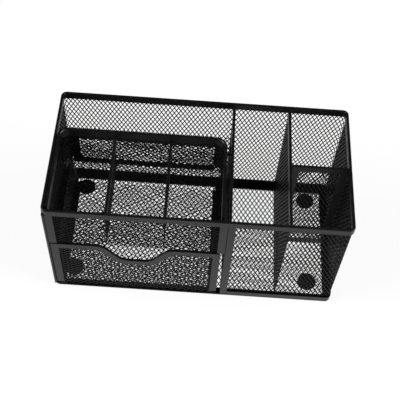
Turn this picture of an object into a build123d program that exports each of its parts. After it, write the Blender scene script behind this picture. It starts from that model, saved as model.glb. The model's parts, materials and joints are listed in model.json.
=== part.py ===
from build123d import *
import os

# Desk pen stand in expanded metal mesh with a fixed three-bay tray over a sliding drawer.
# Millimetres. X runs to the right, Y to the back and Z up. The origin lies on the desk under the
# middle of the stand, and the drawer slides out towards -Y.

# ---------------------------------------------------------------- driving dimensions
width = 205.0            # over the top rim, left to right
depth = 102.0            # over the top rim, front to back
height = 101.0           # desk to the top of the rim
corner_radius = 4.0      # upright outer corners

mesh_t = 0.8             # expanded sheet
leaf_t = 0.5             # folded edge strip, one leaf
slot_play = 0.1          # air on each side of a sheet inside a folded strip
seat_gap = 0.1           # air between pieces that are spot-welded
web_t = 0.6              # fold of an edge strip, over the edge of the sheet
rim_h = 5.5              # folded strip round the top
skirt_top = 6.5          # top of the strip along the foot at the front
back_skirt_top = 7.5     # top of the strip along the foot at the back and sides
fold_r = 0.8             # rounding where a strip is folded over
fold_bevel = 0.5         # the same fold on the smaller rims, pressed flat
flange_w = 5.5           # flat foot flange, inwards
flange_t = 0.8

divider_x = 123.4        # middle of the main divider, from the left face
right_divider_x = 163.0  # middle of the divider between the right-hand wells
cross_divider_y = 50.0   # middle of the short divider, from the front face
frame_strip_w = 6.0      # flat strips round the short divider
post_w = 5.2             # flat front post
edge_fold_d = 5.5        # depth of the folds on upright front edges

tray_left = 2.3          # outer faces of the tray, from the left and front faces
tray_right = 119.6
tray_back = 70.0
tray_floor_z = 61.5      # underside of the tray's floor sheet
tray_rim_h = 7.0
tray_corner_radius = 8.0
tray_bar_w = 5.2         # upright bars on the tray's front
tray_strip_w = 5.2       # seam strips under the tray's floor and behind its back
tray_foot_h = 5.5        # strip along the foot of the tray's back
tray_divider_drop = 7.0  # tops of the tray dividers below the rim
tray_divider_rim_h = 2.6
tray_bays = 3

drawer_left = 2.6        # outer faces of the drawer, from the left face
drawer_right = 119.6
drawer_back_room = 6.0   # from the drawer's back to the stand's back face
drawer_top = 60.0
drawer_lift = 0.3        # running gap over the base sheet
drawer_rail_h = 5.0      # top rail of the drawer front
drawer_bar_w = 5.2
drawer_bar_foot = 6.0    # lower ends of the bars, above the desk
drawer_rim_h = 3.2
drawer_corner_radius = 4.0
scoop_w = 46.0           # finger scoop, across its mouth
scoop_floor_w = 20.0
scoop_d = 17.0
scoop_fillet = 9.5

pad_r = 7.0              # round foot pads
pad_edge = 0.8
pad_sides = 36           # facets of the moulded outline
pad_from_left = 12.6     # middles of the pads, from the four faces
pad_from_right = 17.0
pad_from_front = 15.5
pad_from_back = 13.5

hanger_pin_r = 1.0       # welded pin between the tray and the main divider
hanger_pin_y = 58.0      # from the front face
hanger_pin_drop = 3.5    # below the rim

cell_short = 22.0        # the net of openings: short and long pitch of its diamonds
cell_long = 42.0
strand_w = 2.6
net_margin = 3.0         # plain edge of each sheet
sliver = 4.0             # openings of less area than this are left out

# ---------------------------------------------------------------- derived places
left = -width / 2
right = width / 2
front = -depth / 2
back = depth / 2

strip_t = 2 * leaf_t + mesh_t + 2 * slot_play    # a folded strip, over both leaves
sheet_in = leaf_t + slot_play                    # outer face to the sheet
sheet_inner = sheet_in + mesh_t
flange_z = 1.0
base_sheet_z = flange_z + flange_t
base_top = base_sheet_z + mesh_t
rim_z = height - rim_h
sheet_top = height - web_t - slot_play           # upper edge of every wall sheet
pad_h = base_sheet_z

main_x = left + divider_x
side_x = left + right_divider_x
cross_y = front + cross_divider_y

strip_z = base_top + drawer_lift                 # runner strips under the drawer
drawer_floor_z = strip_z + leaf_t
drawer_sheet_top = drawer_top - web_t - slot_play

os.makedirs("parts", exist_ok=True)
pieces = {}


# ---------------------------------------------------------------- helpers
def block(x0, x1, y0, y1, z0, z1):
    """A plain block between two corners."""
    centre = Pos((x0 + x1) / 2, (y0 + y1) / 2, (z0 + z1) / 2)
    return centre * Box(x1 - x0, y1 - y0, z1 - z0)


def outline(x0, x1, y0, y1, radius):
    """A rounded rectangle on the desk plane."""
    return Pos((x0 + x1) / 2, (y0 + y1) / 2) * RectangleRounded(x1 - x0, y1 - y0, radius)


def wall_loop(x0, x1, y0, y1, radius, outer_in, inner_in, z0, z1):
    """A closed wall that follows a rounded rectangle, between two distances inside it."""
    outer = outline(x0 + outer_in, x1 - outer_in, y0 + outer_in, y1 - outer_in, radius - outer_in)
    inner = outline(x0 + inner_in, x1 - inner_in, y0 + inner_in, y1 - inner_in, radius - inner_in)
    return Pos(0, 0, z0) * extrude(outer - inner, z1 - z0)


def folded_loop(x0, x1, y0, y1, radius, z0, z1, pressed=False):
    """A strip folded over the upper edge of a sheet, all the way round."""
    body = wall_loop(x0, x1, y0, y1, radius, 0, strip_t, z0, z1)
    fold = body.edges().group_by(Axis.Z)[-1]
    body = chamfer(fold, fold_bevel) if pressed else fillet(fold, fold_r)
    slot = wall_loop(x0, x1, y0, y1, radius, leaf_t, strip_t - leaf_t, z0, z1 - web_t)
    return body - slot


def folded_bar(x0, x1, y0, y1, z0, z1, along):
    """A straight strip folded over the upper edge of a sheet that runs along X or Y."""
    body = block(x0, x1, y0, y1, z0, z1)
    if along == "x":
        body = fillet(body.edges().filter_by(Axis.X).group_by(Axis.Z)[-1], fold_r)
        slot = block(x0, x1, y0 + leaf_t, y1 - leaf_t, z0, z1 - web_t)
    else:
        body = fillet(body.edges().filter_by(Axis.Y).group_by(Axis.Z)[-1], fold_r)
        slot = block(x0 + leaf_t, x1 - leaf_t, y0, y1, z0, z1 - web_t)
    return body - slot


def diamond_net(u_size, v_size, long_way):
    """Diamond openings that fill a window, whole in the middle and halved at its edges."""
    pitch_u = cell_long if long_way == "u" else cell_short
    pitch_v = cell_short if long_way == "u" else cell_long
    count_u = max(1, round(u_size / pitch_u))
    count_v = max(1, round(v_size / pitch_v))
    half_u = u_size / count_u / 2
    half_v = v_size / count_v / 2
    reach = half_u * half_v / (half_u**2 + half_v**2) ** 0.5
    shrink = 1 - strand_w / 2 / reach
    tip_u = half_u * shrink
    tip_v = half_v * shrink
    diamond = make_face(Polyline((tip_u, 0), (0, tip_v), (-tip_u, 0), (0, -tip_v), close=True))
    spots = []
    for column in range(2 * count_u + 1):
        for row in range(2 * count_v + 1):
            if column % 2 == row % 2:
                spots.append(Pos((column - count_u) * half_u, (row - count_v) * half_v))
    return Sketch() + [spot * diamond for spot in spots]


def net_sheet(u_size, v_size, long_way, outline_face=None, window_face=None):
    """A flat sheet about the origin with its diamond openings, thickness upwards."""
    plate = outline_face or Rectangle(u_size, v_size)
    window_u = u_size - 2 * net_margin
    window_v = v_size - 2 * net_margin
    window = window_face or Rectangle(window_u, window_v)
    openings = diamond_net(window_u, window_v, long_way) & window
    kept = [face for face in openings.faces() if face.area > sliver]
    return extrude(plate - kept, mesh_t)


def upright_x(x0, x1, y0, z0, z1, long_way="v"):
    """A net sheet that stands along X, with its front face at y0."""
    plane = Plane(origin=((x0 + x1) / 2, y0 + mesh_t, (z0 + z1) / 2), x_dir=(1, 0, 0), z_dir=(0, -1, 0))
    return plane * net_sheet(x1 - x0, z1 - z0, long_way)


def upright_y(y0, y1, x0, z0, z1, long_way="v"):
    """A net sheet that stands along Y, with its left face at x0."""
    plane = Plane(origin=(x0, (y0 + y1) / 2, (z0 + z1) / 2), x_dir=(0, 1, 0), z_dir=(1, 0, 0))
    return plane * net_sheet(y1 - y0, z1 - z0, long_way)


def flat(x0, x1, y0, y1, z0, long_way="v", radius=0):
    """A net sheet that lies flat, with its underside at z0 and rounded corners if asked."""
    rounded = RectangleRounded(x1 - x0, y1 - y0, radius) if radius else None
    return Pos((x0 + x1) / 2, (y0 + y1) / 2, z0) * net_sheet(x1 - x0, y1 - y0, long_way, rounded)


def rim_room(reach):
    """The room that the rim fills, from the outer faces inwards over the given distance."""
    foot = rim_z - seat_gap
    ring = block(left, right, front, back, foot, height)
    return ring - block(left + reach, right - reach, front + reach, back - reach, foot, height)


# ---------------------------------------------------------------- foot: flange, skirt, base sheet, pads
def make_base():
    inner = block(left + flange_w, right - flange_w, front + flange_w, back - flange_w, flange_z, base_sheet_z)
    plate = outline(left, right, front, back, corner_radius)
    pieces["base_flange"] = Pos(0, 0, flange_z) * extrude(plate, flange_t) - inner

    edge = sheet_inner + seat_gap
    pieces["base_mesh"] = flat(
        left + edge, right - edge, front + edge, back - edge, base_sheet_z, "v", corner_radius - edge)

    skirt = wall_loop(left, right, front, back, corner_radius, 0, leaf_t, base_sheet_z, back_skirt_top)
    side_cut = back - corner_radius
    pieces["base_skirt_back"] = skirt & block(left, right, side_cut, back, 0, height)
    pieces["base_skirt_left"] = skirt & block(
        left, left + leaf_t, front + edge_fold_d + seat_gap, side_cut, 0, height)
    pieces["base_skirt_right"] = skirt & block(
        right - corner_radius, right, front + corner_radius, side_cut, 0, height)
    post_right = main_x - strip_t / 2 + post_w
    pieces["base_skirt_front"] = skirt & block(
        post_right + seat_gap, right, front, front + corner_radius, 0, skirt_top)

    pad = extrude(RegularPolygon(pad_r, pad_sides), pad_h)
    pad = chamfer(pad.edges().group_by(Axis.Z)[0], pad_edge)
    pad_places = {
        "front_left": (left + pad_from_left, front + pad_from_front),
        "front_right": (right - pad_from_right, front + pad_from_front),
        "back_left": (left + pad_from_left, back - pad_from_back),
        "back_right": (right - pad_from_right, back - pad_from_back),
    }
    for corner, (x, y) in pad_places.items():
        pieces["foot_pad_" + corner] = Pos(x, y, 0) * pad


# ---------------------------------------------------------------- outer walls and top rim
def make_walls():
    bends = wall_loop(left, right, front, back, corner_radius, sheet_in, sheet_inner, base_sheet_z, sheet_top)
    bend_in = corner_radius
    back_flat = upright_x(
        left + bend_in, right - bend_in, back - sheet_inner, base_sheet_z, sheet_top)
    back_bends = bends & (
        block(left, left + bend_in, back - bend_in, back, 0, height)
        + block(right - bend_in, right, back - bend_in, back, 0, height))
    pieces["back_wall_mesh"] = back_flat + back_bends

    left_wall = upright_y(
        front + web_t + slot_play, back - bend_in, left + sheet_in, base_sheet_z, sheet_top)
    pieces["left_wall_mesh"] = left_wall - block(
        left, left + strip_t, front, front + bend_in, rim_z - seat_gap, height)
    pieces["right_wall_mesh"] = upright_y(
        front + bend_in, back - bend_in, right - sheet_inner, base_sheet_z, sheet_top)

    wall_start = main_x + strip_t / 2 + seat_gap
    front_flat = upright_x(wall_start, right - bend_in, front + sheet_in, base_sheet_z, sheet_top)
    front_bend = bends & block(right - bend_in, right, front, front + bend_in, 0, height)
    pieces["front_wall_mesh"] = front_flat + front_bend

    pieces["top_rim"] = folded_loop(left, right, front, back, corner_radius, rim_z, height)

    edge_top = rim_z - seat_gap
    edge = block(left, left + strip_t, front, front + edge_fold_d, base_top, edge_top)
    edge = fillet(edge.edges().filter_by(Axis.Z).group_by(Axis.Y)[0], fold_r)
    edge_slot = block(
        left + leaf_t, left + strip_t - leaf_t, front + web_t, front + edge_fold_d, base_top, edge_top)
    pieces["left_front_edge"] = edge - edge_slot

    post_left = main_x - strip_t / 2
    post = block(post_left, post_left + post_w, front, front + leaf_t, base_top, edge_top)
    post += block(
        post_left, post_left + strip_t, front, front + edge_fold_d, base_top, edge_top)
    post = fillet(post.edges().filter_by(Axis.Z).group_by(Axis.X)[0].sort_by(Axis.Y)[0], fold_r)
    post -= block(
        post_left + leaf_t, post_left + strip_t - leaf_t,
        front + web_t, front + edge_fold_d, base_top, edge_top)
    pieces["front_post"] = post


# ---------------------------------------------------------------- full-height dividers
def make_dividers():
    rim_front = front + strip_t + seat_gap
    rim_back = back - strip_t - seat_gap
    sheet_back = back - sheet_inner - seat_gap
    starts = {
        "main_divider": (main_x, front + web_t + slot_play),
        "right_divider": (side_x, front + sheet_inner + seat_gap),
    }
    for name, (x, sheet_front) in starts.items():
        sheet = upright_y(sheet_front, sheet_back, x - mesh_t / 2, base_top, sheet_top)
        pieces[name + "_mesh"] = sheet - rim_room(strip_t + seat_gap)
        pieces[name + "_rim"] = folded_bar(
            x - strip_t / 2, x + strip_t / 2, rim_front, rim_back, rim_z, height, "y")

    x0 = side_x + mesh_t / 2 + seat_gap
    x1 = right - sheet_inner - seat_gap
    rim_x0 = side_x + strip_t / 2 + seat_gap
    rim_x1 = right - strip_t - seat_gap
    pieces["cross_divider_mesh"] = upright_x(
        rim_x0, rim_x1, cross_y - mesh_t / 2, base_top, sheet_top)
    pieces["cross_divider_rim"] = folded_bar(
        rim_x0, rim_x1, cross_y - strip_t / 2, cross_y + strip_t / 2, rim_z, height, "x")
    y1 = cross_y - mesh_t / 2
    y0 = y1 - leaf_t
    strip_top = rim_z - seat_gap
    foot_top = base_top + frame_strip_w
    pieces["cross_divider_foot_strip"] = block(x0, x1, y0, y1, base_top, foot_top)
    pieces["cross_divider_left_strip"] = block(
        x0, x0 + frame_strip_w, y0, y1, foot_top + seat_gap, strip_top)
    pieces["cross_divider_right_strip"] = block(
        x1 - frame_strip_w, x1, y0, y1, foot_top + seat_gap, strip_top)


# ---------------------------------------------------------------- fixed tray
def make_tray():
    x0 = left + tray_left
    x1 = left + tray_right
    y1 = front + tray_back
    rim_front = front + corner_radius
    sheet_front = front + sheet_in
    wall_z = tray_floor_z + mesh_t
    bend = tray_corner_radius
    loop_front = front - 2 * bend

    rim = folded_loop(x0, x1, loop_front, y1, bend, height - tray_rim_h, height, pressed=True)
    pieces["tray_rim"] = rim & block(x0, x1, rim_front, y1, 0, height)

    floor_face = outline(x0 + sheet_in, x1 - sheet_in, loop_front, y1 - sheet_in, bend - sheet_in)
    floor_front = sheet_front + mesh_t + seat_gap
    middle = Pos((x0 + x1) / 2, (floor_front + y1) / 2, tray_floor_z)
    floor_plate = Rectangle(x1 - x0, y1 - floor_front)
    floor = middle * net_sheet(x1 - x0 - bend, y1 - floor_front, "u", outline_face=floor_plate)
    trim = Pos(0, 0, tray_floor_z) * extrude(floor_face, mesh_t)
    pieces["tray_floor_mesh"] = floor & trim & block(
        x0, x1, floor_front, y1, tray_floor_z, wall_z)

    back_flat = upright_x(x0 + bend, x1 - bend, y1 - sheet_inner, wall_z, sheet_top, "u")
    bends = wall_loop(x0, x1, loop_front, y1, bend, sheet_in, sheet_inner, wall_z, sheet_top)
    back_bends = bends & (
        block(x0, x0 + bend, y1 - bend, y1, 0, height)
        + block(x1 - bend, x1, y1 - bend, y1, 0, height))
    pieces["tray_back_mesh"] = back_flat + back_bends
    side_front = sheet_front + mesh_t + seat_gap
    corner_room = block(left, right, front, front + corner_radius, rim_z - seat_gap, height)
    sides = {"tray_left_mesh": x0 + sheet_in, "tray_right_mesh": x1 - sheet_inner}
    for name, x in sides.items():
        pieces[name] = upright_y(side_front, y1 - bend, x, wall_z, sheet_top, "u") - corner_room

    front_x0 = left + strip_t + seat_gap
    front_x1 = main_x - strip_t / 2 - seat_gap
    front_sheet = upright_x(front_x0, front_x1, sheet_front, tray_floor_z, sheet_top, "u")
    corner = block(left, left + corner_radius, front, front + strip_t, rim_z - seat_gap, height)
    pieces["tray_front_mesh"] = front_sheet - corner
    bar_top = rim_z - seat_gap
    pieces["tray_bar_left"] = block(
        front_x0, front_x0 + tray_bar_w, front, front + leaf_t, tray_floor_z, bar_top)
    pieces["tray_bar_right"] = block(
        front_x1 - tray_bar_w, front_x1, front, front + leaf_t, tray_floor_z, bar_top)

    strip_top = tray_floor_z
    strip_foot = tray_floor_z - leaf_t
    strip_back = y1 - bend
    sides = {"left": x0 + sheet_in, "right": x1 - sheet_in - tray_strip_w}
    for side, x in sides.items():
        pieces["tray_floor_strip_" + side] = block(
            x, x + tray_strip_w, floor_front, strip_back, strip_foot, strip_top)
    pieces["tray_foot_strip"] = block(
        x0 + bend, x1 - bend, y1 - sheet_in, y1 - slot_play, tray_floor_z, tray_floor_z + tray_foot_h)

    bay = (x1 - x0) / tray_bays
    divider_top = height - tray_divider_drop
    for number in range(1, tray_bays):
        x = x0 + number * bay
        name = f"tray_divider_{number}"
        pieces[name + "_mesh"] = upright_y(
            side_front, y1 - sheet_inner - seat_gap, x - mesh_t / 2,
            wall_z, divider_top - web_t - slot_play, "u")
        pieces[name + "_rim"] = folded_bar(
            x - strip_t / 2, x + strip_t / 2, side_front, y1 - strip_t - seat_gap,
            divider_top - tray_divider_rim_h, divider_top, "y")

    pin_length = main_x - strip_t / 2 - x1
    pin = Cylinder(hanger_pin_r, pin_length, rotation=(0, 90, 0))
    pieces["tray_hanger_pin"] = Pos(
        x1 + pin_length / 2, front + hanger_pin_y, height - hanger_pin_drop) * pin

    shelf_edge = sheet_inner + seat_gap
    shelf_right = main_x - mesh_t / 2 - seat_gap
    pieces["rear_shelf_mesh"] = flat(
        left + shelf_edge, shelf_right, y1 + seat_gap, back - shelf_edge, tray_floor_z, "u",
        corner_radius - shelf_edge)


# ---------------------------------------------------------------- sliding drawer
def scoop_line(x0, x1):
    """The region of the drawer front below its scooped top line, carried on past its sides."""
    middle = (x0 + x1) / 2
    mouth = scoop_w / 2
    floor = scoop_floor_w / 2
    spare = 2 * drawer_rail_h
    top = FilletPolyline(
        (x0 - spare, drawer_top), (middle - mouth, drawer_top), (middle - floor, drawer_top - scoop_d),
        (middle + floor, drawer_top - scoop_d), (middle + mouth, drawer_top), (x1 + spare, drawer_top),
        radius=scoop_fillet)
    sides = Polyline(
        (x1 + spare, drawer_top), (x1 + spare, -spare), (x0 - spare, -spare), (x0 - spare, drawer_top))
    return make_face(top + sides)


def patch(x0, x1, z0, z1):
    """A rectangle between two corners on an upright plane."""
    return Pos((x0 + x1) / 2, (z0 + z1) / 2) * Rectangle(x1 - x0, z1 - z0)


def upright_extrude(face, y0, y1):
    """A flat face drawn in X and Z, made solid from y0 to y1."""
    plane = Plane(origin=(0, y1, 0), x_dir=(1, 0, 0), z_dir=(0, -1, 0))
    return plane * extrude(face, y1 - y0)


def make_drawer():
    x0 = left + drawer_left
    x1 = left + drawer_right
    y1 = back - drawer_back_room
    bend = drawer_corner_radius
    loop_front = front - 2 * bend
    wall_z = drawer_floor_z + mesh_t
    sheet_front = front + sheet_in
    side_front = sheet_front + mesh_t + seat_gap
    rim_front = front + strip_t + seat_gap

    below = scoop_line(x0, x1)
    rail_foot = offset(below, -drawer_rail_h)
    bars = patch(x0, x1, drawer_bar_foot, drawer_top) & below
    window = patch(x0 + drawer_bar_w, x1 - drawer_bar_w, 0, drawer_top) & rail_foot
    sheet_face = patch(x0 + sheet_in, x1 - sheet_in, drawer_floor_z, drawer_top)
    sheet_face = sheet_face & offset(below, -(web_t + slot_play))
    slot_face = patch(x0, x1, drawer_bar_foot, drawer_top) & offset(below, -web_t)
    rail = (bars - window) & (below - rail_foot)
    frame = upright_extrude(bars - window, front, front + leaf_t)
    frame += upright_extrude(rail, front, front + strip_t)
    frame -= upright_extrude(slot_face, front + leaf_t, front + strip_t - leaf_t)
    pieces["drawer_front_frame"] = frame

    middle_x = (x0 + x1) / 2
    middle_z = (drawer_floor_z + drawer_top) / 2
    lift = Pos(-middle_x, -middle_z)
    net_foot = drawer_floor_z + net_margin
    net_window = patch(x0 + drawer_bar_w, x1 - drawer_bar_w, net_foot, drawer_top) & rail_foot
    sheet = net_sheet(x1 - x0, drawer_top - drawer_floor_z, "u",
                      outline_face=lift * sheet_face, window_face=lift * net_window)
    plane = Plane(origin=(middle_x, sheet_front + mesh_t, middle_z), x_dir=(1, 0, 0), z_dir=(0, -1, 0))
    pieces["drawer_front_mesh"] = plane * sheet

    pieces["drawer_floor_mesh"] = flat(
        x0 + sheet_in, x1 - sheet_in, side_front, y1 - bend, drawer_floor_z, "u")
    back_flat = upright_x(
        x0 + bend, x1 - bend, y1 - sheet_inner, drawer_floor_z, drawer_sheet_top, "u")
    bends = wall_loop(
        x0, x1, loop_front, y1, bend, sheet_in, sheet_inner, drawer_floor_z, drawer_sheet_top)
    back_bends = bends & (
        block(x0, x0 + bend, y1 - bend, y1, 0, height)
        + block(x1 - bend, x1, y1 - bend, y1, 0, height))
    pieces["drawer_back_mesh"] = back_flat + back_bends
    sides = {"drawer_left_mesh": x0 + sheet_in, "drawer_right_mesh": x1 - sheet_inner}
    for name, x in sides.items():
        pieces[name] = upright_y(rim_front, y1 - bend, x, wall_z, drawer_sheet_top, "u")

    rim = folded_loop(
        x0, x1, loop_front, y1, bend, drawer_top - drawer_rim_h, drawer_top, pressed=True)
    pieces["drawer_rim"] = rim & block(x0, x1, rim_front, y1, 0, drawer_top)

    sides = {"left": x0 + sheet_in, "right": x1 - sheet_in - drawer_bar_w}
    for side, x in sides.items():
        pieces["drawer_runner_" + side] = block(
            x, x + drawer_bar_w, front + leaf_t, y1 - bend, strip_z, drawer_floor_z)


make_base()
make_walls()
make_dividers()
make_tray()
make_drawer()
for name, solid in pieces.items():
    export_step(solid, f"parts/{name}.step")
print(len(pieces), "pieces written")
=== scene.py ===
# %% [markdown]
# A desk pen stand in black expanded metal. The folded steel strips, rims and bars come from the
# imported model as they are, all but one. What this script adds is the fine diamond sheet itself,
# two bands at the tray's back corners, a round hem in place of that one strip, the finishes, the
# desk, the light and the camera. Everything is in metres, in the model's own frame.

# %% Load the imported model
import bpy
import bmesh
import json
import math
from mathutils import Matrix, Vector

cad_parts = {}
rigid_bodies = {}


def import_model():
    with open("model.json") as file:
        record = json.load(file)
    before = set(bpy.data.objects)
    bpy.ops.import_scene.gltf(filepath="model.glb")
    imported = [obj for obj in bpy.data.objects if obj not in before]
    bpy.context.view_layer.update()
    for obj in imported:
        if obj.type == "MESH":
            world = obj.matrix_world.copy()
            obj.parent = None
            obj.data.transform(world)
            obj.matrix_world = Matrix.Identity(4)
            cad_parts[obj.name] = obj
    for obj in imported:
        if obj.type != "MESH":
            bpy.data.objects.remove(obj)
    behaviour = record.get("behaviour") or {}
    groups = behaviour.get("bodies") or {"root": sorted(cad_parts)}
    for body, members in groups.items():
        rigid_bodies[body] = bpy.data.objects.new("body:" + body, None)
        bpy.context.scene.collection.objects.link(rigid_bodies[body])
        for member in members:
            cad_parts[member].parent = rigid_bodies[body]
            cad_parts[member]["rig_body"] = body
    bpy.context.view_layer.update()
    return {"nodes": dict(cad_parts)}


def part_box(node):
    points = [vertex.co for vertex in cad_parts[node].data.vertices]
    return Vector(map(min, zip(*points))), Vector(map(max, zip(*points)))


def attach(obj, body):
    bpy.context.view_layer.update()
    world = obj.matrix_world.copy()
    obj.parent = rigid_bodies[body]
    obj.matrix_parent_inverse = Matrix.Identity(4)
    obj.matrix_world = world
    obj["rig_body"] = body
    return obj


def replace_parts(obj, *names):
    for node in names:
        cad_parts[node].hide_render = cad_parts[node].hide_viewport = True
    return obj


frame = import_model()
MM = 0.001


# %% [markdown]
# Colours are written the way a paint chart gives them, as sRGB hex values. Blender's shaders work
# in linear light, so one function turns the one into the other.

# %% Colour helper
def linear(hex_colour):
    """An sRGB hex colour as linear RGBA."""
    channels = [int(hex_colour[i:i + 2], 16) / 255 for i in (1, 3, 5)]
    curved = [c / 12.92 if c <= 0.04045 else ((c + 0.055) / 1.055) ** 2.4 for c in channels]
    return (*curved, 1.0)


print("mid grey is", round(linear("#808080")[0], 3), "in linear light")


# %% [markdown]
# A material is a small graph of nodes. This one helper adds a node, sets its values and joins its
# inputs, so that each finish below reads as a list of what it is made of.

# %% Node helper
def add_node(tree, kind, settings=None, **links):
    """Adds a node, sets properties or sockets by name, and links sockets to other outputs."""
    node = tree.nodes.new(kind)
    for key, value in (settings or {}).items():
        if key in node.inputs:
            node.inputs[key].default_value = value
        else:
            setattr(node, key, value)
    for key, source in links.items():
        tree.links.new(source, node.inputs[key.replace("_", " ")])
    return node


def new_material(name):
    """An empty material with its output node."""
    material = bpy.data.materials.new(name)
    material.use_nodes = True
    material.node_tree.nodes.clear()
    output = material.node_tree.nodes.new("ShaderNodeOutputMaterial")
    return material, material.node_tree, output


print("helpers ready")

# %% [markdown]
# A mix node keeps several sets of sockets under the same names, one for each kind of value. Its
# colour sockets are found by number.

# %% Two colours that run into each other
MIX_SHARE, MIX_FIRST, MIX_SECOND, MIX_RESULT = 0, 6, 7, 2


def blend_colours(tree, share, first, second):
    """A colour between two sRGB hex colours, by a share from 0 to 1."""
    mix = add_node(tree, "ShaderNodeMix", {"data_type": "RGBA"})
    mix.inputs[MIX_FIRST].default_value = linear(first)
    mix.inputs[MIX_SECOND].default_value = linear(second)
    tree.links.new(share, mix.inputs[MIX_SHARE])
    return mix.outputs[MIX_RESULT]


print("colour sockets:", MIX_FIRST, MIX_SECOND)

# %% [markdown]
# Powder coat is sprayed on as dry plastic dust and melted in an oven. It flows into a satin skin
# that is never quite flat: a faint orange peel, about 0.4 mm from bump to bump, breaks up the
# reflections. That is too fine to show at this distance, so a second swell of about 5 mm is laid
# over it. The colour is a very dark neutral grey, a little lighter where the dust built up
# thicker. The strips and the net get the same coat at two levels of shine, both below the usual
# 0.5. Those levels were set by trial against the greys in the photograph, which doesn't show why
# the net looks duller than the strips.

# %% Black powder coat on the strips and on the net
PEEL = 0.4 * MM
SWELL = 5.0 * MM
PEEL_DEPTH = 0.02 * MM


def powder_coat(name, dark, light, roughness, sheen_level):
    """Satin black powder coat with its orange peel, at real sizes."""
    material, tree, output = new_material(name)
    place = add_node(tree, "ShaderNodeTexCoord").outputs["Object"]
    peel = add_node(tree, "ShaderNodeTexNoise", {"Scale": 1 / PEEL, "Detail": 2.0}, Vector=place)
    swell = add_node(tree, "ShaderNodeTexNoise", {"Scale": 1 / SWELL, "Detail": 3.0}, Vector=place)
    tone = add_node(tree, "ShaderNodeMapRange",
                    {"To Min": 0.0, "To Max": 1.0, "From Min": 0.35, "From Max": 0.65},
                    Value=swell.outputs["Fac"])
    gloss = add_node(tree, "ShaderNodeMapRange",
                     {"To Min": roughness - 0.05, "To Max": roughness + 0.07},
                     Value=swell.outputs["Fac"])
    bump = add_node(tree, "ShaderNodeBump", {"Strength": 0.6, "Distance": PEEL_DEPTH},
                    Height=peel.outputs["Fac"])
    skin = add_node(tree, "ShaderNodeBsdfPrincipled",
                    {"IOR": 1.5, "Specular IOR Level": sheen_level},
                    Base_Color=blend_colours(tree, tone.outputs["Result"], dark, light),
                    Roughness=gloss.outputs["Result"], Normal=bump.outputs["Normal"])
    tree.links.new(skin.outputs["BSDF"], output.inputs["Surface"])
    return material


strip_coat = powder_coat("black_powder_coat_strip", "#080809", "#101011", 0.34, 0.28)
net_coat = powder_coat("black_powder_coat_net", "#060607", "#0e0e0f", 0.38, 0.12)
print("finishes:", strip_coat.name, net_coat.name)

# %% [markdown]
# The pads are moulded rubber. Rubber scatters light more than paint does, so it has a dull, even
# black with a dusty bloom in patches a couple of millimetres across.

# %% Rubber of the foot pads
BLOOM = 2.0 * MM
GRAIN_DEPTH = 0.05 * MM

rubber, tree, output = new_material("moulded_black_rubber")
place = add_node(tree, "ShaderNodeTexCoord").outputs["Object"]
bloom = add_node(tree, "ShaderNodeTexNoise", {"Scale": 1 / BLOOM, "Detail": 4.0}, Vector=place)
grain = add_node(tree, "ShaderNodeBump", {"Strength": 0.4, "Distance": GRAIN_DEPTH},
                 Height=bloom.outputs["Fac"])
pad_skin = add_node(tree, "ShaderNodeBsdfPrincipled", {"Roughness": 0.75, "IOR": 1.52},
                    Base_Color=blend_colours(tree, bloom.outputs["Fac"], "#0e0e0e", "#1b1b1a"),
                    Normal=grain.outputs["Normal"])
tree.links.new(pad_skin.outputs["BSDF"], output.inputs["Surface"])

for name, node in frame["nodes"].items():
    finish = rubber if name.startswith("foot_pad") else strip_coat
    node.data.materials.clear()
    node.data.materials.append(finish)
print("finish on", len(frame["nodes"]), "model nodes")

# %% [markdown]
# Expanded metal starts as a plain sheet. Knives slit it in staggered rows while it is pulled open,
# so nothing is cut away and every opening becomes a diamond. How it is cut sets how much shows
# through: the pitch from diamond to diamond each way, the strand's width, and its depth through
# the sheet. The pitches of WALL and BASE were measured in the photograph, on the back wall, the
# front wall and the base. Those of FINE, with its diamonds on their sides, are partly a guess,
# because other nets show through the tray and the drawer and blur what can be read there. The
# strand widths and depths weren't measured. The real sheets are most likely alike, and the
# variants only set, by trial, how much white shows through each one, to about what the photograph
# shows.

# %% How each sheet is cut
WALL = {"pitch_u": 3.12 * MM, "pitch_v": 5.8 * MM, "strand": 0.52 * MM, "depth": 0.56 * MM}
BACK_WALL = dict(WALL, depth=0.55 * MM)
FRONT_WALL = dict(WALL, strand=0.38 * MM, depth=0.3 * MM)
BASE = {"pitch_u": 3.46 * MM, "pitch_v": 5.7 * MM, "strand": 0.58 * MM, "depth": 0.6 * MM}
FINE = {"pitch_u": 5.6 * MM, "pitch_v": 3.2 * MM, "strand": 0.32 * MM, "depth": 0.4 * MM}
THIN_FINE = dict(FINE, strand=0.20 * MM)
TRAY_FRONT = dict(FINE, strand=0.28 * MM)
DRAWER_FRONT = dict(FINE, strand=0.60 * MM)
print("diamonds of the wall, mm:", WALL["pitch_u"] / MM, "x", WALL["pitch_v"] / MM)


# %% [markdown]
# The quickest way to draw such a sheet is to lean a square grid over until its cells are diamonds,
# shrink each cell with an inset, drop the middles and give what is left its thickness. A
# brick-like array of strands would need its joints merged, and this way they are one sheet from
# the start, as in the real thing.

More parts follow.
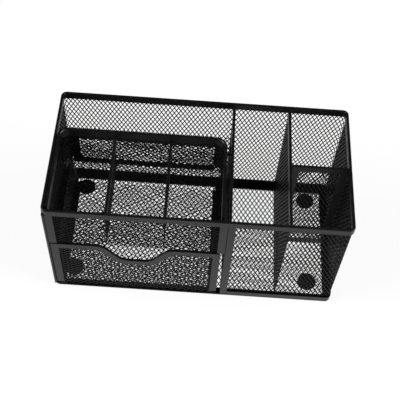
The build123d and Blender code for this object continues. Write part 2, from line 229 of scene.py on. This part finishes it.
# %% The diamond sheet
def diamond_sheet(width, height, kind):
    """A flat diamond net in the XY plane, centred, with its edges trimmed to width and height."""
    pitch_u, pitch_v = kind["pitch_u"], kind["pitch_v"]
    count = math.ceil(width / pitch_u + height / pitch_v) + 2
    count += count % 2
    net = bmesh.new()
    bmesh.ops.create_grid(net, x_segments=count, y_segments=count, size=count / 2)
    lean = Matrix(((pitch_u / 2, -pitch_u / 2, 0, 0), (pitch_v / 2, pitch_v / 2, 0, 0),
                   (0, 0, 1, 0), (0, 0, 0, 1)))
    bmesh.ops.transform(net, matrix=lean, verts=net.verts)
    beyond = [f for f in net.faces
              if abs(f.calc_center_median().x) > width / 2 + pitch_u
              or abs(f.calc_center_median().y) > height / 2 + pitch_v]
    bmesh.ops.delete(net, geom=beyond, context="FACES")
    cells = list(net.faces)
    bmesh.ops.inset_individual(net, faces=cells, thickness=kind["strand"] / 2,
                               use_even_offset=True)
    bmesh.ops.delete(net, geom=cells, context="FACES")
    for side in (1, -1):
        trim(net, Vector((side * width / 2, 0, 0)), Vector((side, 0, 0)))
    for side in (1, -1):
        trim(net, Vector((0, side * height / 2, 0)), Vector((0, side, 0)))
    return net


def trim(net, point, outward):
    """Cuts away what lies beyond a plane."""
    everything = list(net.verts) + list(net.edges) + list(net.faces)
    bmesh.ops.bisect_plane(net, geom=everything, dist=1e-7, plane_co=point, plane_no=outward,
                           clear_outer=True)


test_net = diamond_sheet(31.2 * MM, 29.0 * MM, WALL)
print("a 31 x 29 mm sample has", len(test_net.faces), "faces")
test_net.free()


# %% [markdown]
# A sheet that turns a corner is bent over a round tool. The flat net is wound on to the same
# radius: what lies beyond the bend line travels along the arc instead of straight on.

# %% Bending the ends of a sheet
def bend_end(net, line_u, radius, side, towards):
    """Winds what lies beyond line_u, on side -1 or 1, over a quarter turn, down (-1) or up (1)."""
    for vert in net.verts:
        past = side * (vert.co.x - line_u)
        if past > 0:
            turn = past / radius
            vert.co.x = line_u + side * radius * math.sin(turn)
            vert.co.z += towards * radius * (1 - math.cos(turn))


print("bending tool ready")

# %% [markdown]
# A sheet is drawn lying flat, given its thickness and then stood in its place. The thickness goes
# half to each side of the middle plane, also round a bend, so each point first moves half a
# thickness along its own normal. The place is worked into the mesh, and the object itself stays at
# the origin.

# %% From a flat sheet to a piece on a body
COLUMNS = {
    "x": (Vector((1, 0, 0)), Vector((0, 0, 1)), Vector((0, -1, 0))),
    "y": (Vector((0, 1, 0)), Vector((0, 0, 1)), Vector((1, 0, 0))),
    "flat": (Vector((1, 0, 0)), Vector((0, 1, 0)), Vector((0, 0, 1))),
}
totals = {"pieces": 0, "faces": 0}


def make_piece(shape, name, finish, body):
    """Turns a closed shape into a coated piece that rides on a body."""
    bmesh.ops.recalc_face_normals(shape, faces=shape.faces)
    mesh = bpy.data.meshes.new(name)
    shape.to_mesh(mesh)
    shape.free()
    mesh.materials.append(finish)
    piece = bpy.data.objects.new(name, mesh)
    bpy.context.scene.collection.objects.link(piece)
    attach(piece, body)
    totals["pieces"] += 1
    totals["faces"] += len(mesh.polygons)
    return piece


def stand_up(sheet, standing, centre, depth):
    """Gives a sheet its thickness, half to each side, and stands it in place."""
    sheet.normal_update()
    for vert in sheet.verts:
        vert.co += vert.normal * depth / 2
    bmesh.ops.solidify(sheet, geom=list(sheet.faces), thickness=depth)
    place = Matrix.Translation(centre) @ Matrix(COLUMNS[standing]).transposed().to_4x4()
    bmesh.ops.transform(sheet, matrix=place, verts=sheet.verts)
    return sheet


def body_of(node):
    """The body that a model node rides on."""
    return frame["nodes"][node]["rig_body"]


print("ways to stand:", sorted(COLUMNS))


# %% [markdown]
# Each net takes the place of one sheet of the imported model, which has the same edges and the same
# middle plane but far coarser openings. The model's sheet stays hidden: it is what other things
# bump into.

# %% Flat nets of the walls, the dividers and the base
def finish_net(net, node, standing, centre, depth):
    """Stands a net in the place of the model's sheet."""
    name = node.replace("_mesh", "") + "_net"
    piece = make_piece(stand_up(net, standing, centre, depth), name, net_coat, body_of(node))
    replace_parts(piece, node)


def plain_net(node, standing, kind):
    """A flat net over the whole of a model sheet."""
    low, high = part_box(node)
    size = high - low
    width = size.y if standing == "y" else size.x
    height = size.y if standing == "flat" else size.z
    net = diamond_sheet(width, height, kind)
    finish_net(net, node, standing, (low + high) / 2, kind["depth"])


for node in ("left_wall_mesh", "right_wall_mesh", "main_divider_mesh", "right_divider_mesh"):
    plain_net(node, "y", WALL)
plain_net("cross_divider_mesh", "x", WALL)
plain_net("base_mesh", "flat", BASE)
print("nets:", totals)

# %% [markdown]
# The tray and the drawer each have a floor and two sides, and the tray has two dividers and a
# front. One more sheet closes the space behind the tray.

# %% Flat nets of the tray and the drawer
for node in ("tray_left_mesh", "tray_right_mesh", "tray_divider_1_mesh", "tray_divider_2_mesh",
             "drawer_left_mesh", "drawer_right_mesh"):
    plain_net(node, "y", FINE)
plain_net("tray_front_mesh", "x", TRAY_FRONT)
plain_net("tray_floor_mesh", "flat", THIN_FINE)
plain_net("rear_shelf_mesh", "flat", THIN_FINE)
plain_net("drawer_floor_mesh", "flat", FINE)
print("nets:", totals)

# %% [markdown]
# Four sheets turn corners: the cabinet's back and front right, the back of the tray and the back
# of the drawer. Their nets are made as long as the sheet is when it lies flat, then bent.

# %% Bent nets
CAD_SHEET_T = 0.8 * MM      # the model's sheets
TO_MIDDLE = 1.0 * MM        # from the outside of a strip's corner to the middle of the sheet in it


def bent_net(node, outer_radius, ends, kind):
    """A net that stands along X and turns into the box at its ends."""
    low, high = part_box(node)
    radius = outer_radius - TO_MIDDLE
    turn = radius * math.pi / 2
    reach = radius + CAD_SHEET_T / 2
    flat_low = low.x + (reach if -1 in ends else 0)
    flat_high = high.x - (reach if 1 in ends else 0)
    middle = (flat_low + flat_high) / 2
    half = (flat_high - flat_low) / 2
    long_low = half + (turn if -1 in ends else 0)
    long_high = half + (turn if 1 in ends else 0)
    net = diamond_sheet(2 * max(long_low, long_high), high.z - low.z, kind)
    if long_low != long_high:
        trim(net, Vector((-long_low, 0, 0)), Vector((-1, 0, 0)))
        trim(net, Vector((long_high, 0, 0)), Vector((1, 0, 0)))
    in_front = node.startswith("front")
    for side in ends:
        bend_end(net, side * half, radius, side, -1 if in_front else 1)
    wall_y = low.y + CAD_SHEET_T / 2 if in_front else high.y - CAD_SHEET_T / 2
    centre = Vector((middle, wall_y, (low.z + high.z) / 2))
    finish_net(net, node, "x", centre, kind["depth"])


bent_net("back_wall_mesh", 4.0 * MM, (-1, 1), BACK_WALL)
bent_net("front_wall_mesh", 4.0 * MM, (1,), FRONT_WALL)
bent_net("tray_back_mesh", 8.0 * MM, (-1, 1), THIN_FINE)
bent_net("drawer_back_mesh", 4.0 * MM, (-1, 1), FINE)
print("nets:", totals)

# %% [markdown]
# The drawer front is cut to the finger scoop before its rail is folded over the edge. The net is
# dropped where it would stand above the middle of that rail, so its cut ends stay inside the fold.

# %% The net of the drawer front
SCOOP_MOUTH = 23.0 * MM     # half the width of the scoop at its mouth
SCOOP_FLOOR = 10.0 * MM     # and on its floor
SCOOP_DEPTH = 17.0 * MM
RAIL_MIDDLE = 2.4 * MM


def rail_line(offset_x):
    """How far the rail's upper edge lies below the drawer's top, at a distance from the middle."""
    slope = (SCOOP_MOUTH - abs(offset_x)) / (SCOOP_MOUTH - SCOOP_FLOOR)
    return SCOOP_DEPTH * min(1.0, max(0.0, slope))


low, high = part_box("drawer_front_mesh")
centre = (low + high) / 2
net = diamond_sheet(high.x - low.x, high.z - low.z, DRAWER_FRONT)
rail_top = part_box("drawer_front_frame")[1].z - centre.z
above = [f for f in net.faces
         if f.calc_center_median().y > rail_top - rail_line(f.calc_center_median().x) - RAIL_MIDDLE]
bmesh.ops.delete(net, geom=above, context="FACES")
finish_net(net, "drawer_front_mesh", "x", centre, DRAWER_FRONT["depth"])
print("nets:", totals)

# %% [markdown]
# The photograph shows no light through the tray's back corners, and doesn't show why. One likely
# reason is that the end of one sheet laps over the next there and is pressed flat, so each corner
# gets a plain band that goes round it, behind the net. How far a band runs on along the back,
# further on the left, was set by trial. It starts flat too, and is bent with the same tool.

# %% The pressed laps at the tray's back corners
LAP_T = 0.5 * MM
LAP_RADIUS = 7.5 * MM       # the net's own bend is 7 mm
LAP_CORNER = 7.4 * MM       # from the sheet's end to the line where the bend starts
LAP_BEHIND = 0.3 * MM       # from the back of the sheet to the middle of the lap
LAP_PLAY = 0.1 * MM         # air to the strips above and below
LAP_STEPS = 20


def corner_lap(side, along_back):
    """A plain band round one back corner of the tray, with a length of it along the back."""
    low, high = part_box("tray_back_mesh")
    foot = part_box("tray_foot_strip")[1].z + LAP_PLAY
    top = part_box("tray_rim")[0].z - LAP_PLAY
    turn = LAP_RADIUS * math.pi / 2
    band = bmesh.new()
    bmesh.ops.create_grid(band, x_segments=LAP_STEPS, y_segments=1, size=0.5)
    bmesh.ops.scale(band, vec=(along_back + turn, top - foot, 1), verts=band.verts)
    bmesh.ops.translate(band, vec=(side * (turn - along_back) / 2, 0, 0), verts=band.verts)
    bend_end(band, 0, LAP_RADIUS, side, 1)
    corner = (low.x if side < 0 else high.x) - side * LAP_CORNER
    centre = Vector((corner, high.y + LAP_BEHIND, (foot + top) / 2))
    name = "tray_corner_lap_" + ("left" if side < 0 else "right")
    make_piece(stand_up(band, "x", centre, LAP_T), name, strip_coat, body_of("tray_back_mesh"))


corner_lap(-1, 5.5 * MM)
corner_lap(1, 0.5 * MM)
print("pieces:", totals)

# %% [markdown]
# The strip on the left wall's front edge looks nearly black in the photograph, where the others
# show a flat grey face. A fold closed to a full round, like a hem, would catch only a thin line of
# light, and that is assumed here. A bar with its two front edges bevelled until they nearly meet
# gives that round.

# %% The hem on the left wall's front edge
HEM_SEGMENTS = 5
HEM_ROUND = 0.49            # share of the hem's width that each bevel takes
TOUCH = 0.1 * MM            # points nearer than this share a line


def round_hem(node, name):
    """An upright hem in the place of a model strip, its front a full round."""
    low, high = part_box(node)
    size = high - low
    hem = bmesh.new()
    bmesh.ops.create_cube(hem, size=1.0)
    bmesh.ops.scale(hem, vec=size, verts=hem.verts)
    bmesh.ops.translate(hem, vec=(low + high) / 2, verts=hem.verts)
    front_edges = [e for e in hem.edges
                   if all(v.co.y < low.y + TOUCH for v in e.verts)
                   and abs(e.verts[0].co.x - e.verts[1].co.x) < TOUCH]
    bmesh.ops.bevel(hem, geom=front_edges, offset=HEM_ROUND * size.x, segments=HEM_SEGMENTS,
                    profile=0.5, affect="EDGES", material=-1)
    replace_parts(make_piece(hem, name, strip_coat, body_of(node)), node)
    return size


hem_size = round_hem("left_front_edge", "left_front_hem")
print("hem, mm:", [round(v / MM, 2) for v in hem_size], "pieces:", totals)

# %% [markdown]
# The stand is on a plain white desk. Straight to the eye, and in anything glossy, most of the desk
# shows as paper white, so that the stand's shadow stays on it but faint.

# %% The desk
DESK_SIZE = 12.0
DESK_GLOW = 0.88            # share of plain white in what the eye sees of the desk

bpy.ops.mesh.primitive_plane_add(size=DESK_SIZE, location=(0, 0, 0))
desk = bpy.context.object
desk.name = "desk"
white, tree, output = new_material("matt_white_desk")
path = add_node(tree, "ShaderNodeLightPath").outputs
looks = path["Is Camera Ray"]
for ray in ("Is Glossy Ray", "Is Transmission Ray"):
    both = add_node(tree, "ShaderNodeMath", {"operation": "ADD"})
    tree.links.new(looks, both.inputs[0])
    tree.links.new(path[ray], both.inputs[1])
    looks = both.outputs[0]
glow = add_node(tree, "ShaderNodeMath", {"operation": "MULTIPLY", "use_clamp": True})
tree.links.new(looks, glow.inputs[0])
glow.inputs[1].default_value = DESK_GLOW
paper = add_node(tree, "ShaderNodeBsdfDiffuse", {"Color": linear("#fdfdfd")})
bright = add_node(tree, "ShaderNodeEmission", {"Color": linear("#ffffff"), "Strength": 1.0})
blend = add_node(tree, "ShaderNodeMixShader")
tree.links.new(glow.outputs[0], blend.inputs[0])
tree.links.new(paper.outputs[0], blend.inputs[1])
tree.links.new(bright.outputs[0], blend.inputs[2])
tree.links.new(blend.outputs[0], output.inputs["Surface"])
desk.data.materials.append(white)
print("desk:", DESK_SIZE, "m wide")


# %% [markdown]
# The coat is black, so what shows is mostly what it reflects. The upright faces mirror the white
# desk and come out grey, and the faces that look up mirror the dim room and stay black. Two wide
# soft lamps, one on each side, leave that be: a lamp near the camera would put a grey line along
# every fold.

# %% Lamps and room light
LAMP_SIZE = 1.2
LAMP_WATTS = 45
ROOM_LIGHT = 0.05
MIDDLE = (0, 0, 0.05)


def softbox(name, place):
    """A square area lamp that looks at the middle of the stand."""
    lamp = bpy.data.lights.new(name, "AREA")
    lamp.shape = "RECTANGLE"
    lamp.size = LAMP_SIZE
    lamp.size_y = LAMP_SIZE
    lamp.energy = LAMP_WATTS
    holder = bpy.data.objects.new(name, lamp)
    bpy.context.scene.collection.objects.link(holder)
    holder.location = place
    holder.rotation_euler = (Vector(MIDDLE) - Vector(place)).to_track_quat("-Z", "Y").to_euler()


softbox("left_softbox", (-1.7, -0.3, 1.3))
softbox("right_softbox", (1.7, -0.3, 1.3))
world = bpy.data.worlds.new("room")
bpy.context.scene.world = world
world.use_nodes = True
room = world.node_tree.nodes["Background"].inputs
room["Color"].default_value = linear("#ffffff")
room["Strength"].default_value = ROOM_LIGHT
bpy.context.scene.view_settings.view_transform = "Standard"

# %% [markdown]
# The camera's place and turn were found by matching the stand's outer corners, its pads and its
# dividers with those in the photograph: a long lens that looks down 56 degrees, rolled a few
# degrees.

# %% Camera
LENS_MM = 75.1
SENSOR_MM = 36.0
CAMERA_PLACE = (-4.8 * MM, -337.8 * MM, 556.6 * MM)
CAMERA_TURN = (33.58, -2.543, 2.851)    # degrees about X, Y and Z

lens = bpy.data.cameras.new("photo_camera")
lens.sensor_width = SENSOR_MM
lens.lens = LENS_MM
viewer = bpy.data.objects.new("photo_camera", lens)
bpy.context.scene.collection.objects.link(viewer)
viewer.location = CAMERA_PLACE
viewer.rotation_euler = [math.radians(angle) for angle in CAMERA_TURN]
bpy.context.scene.camera = viewer
print("camera", [round(v, 4) for v in viewer.location])
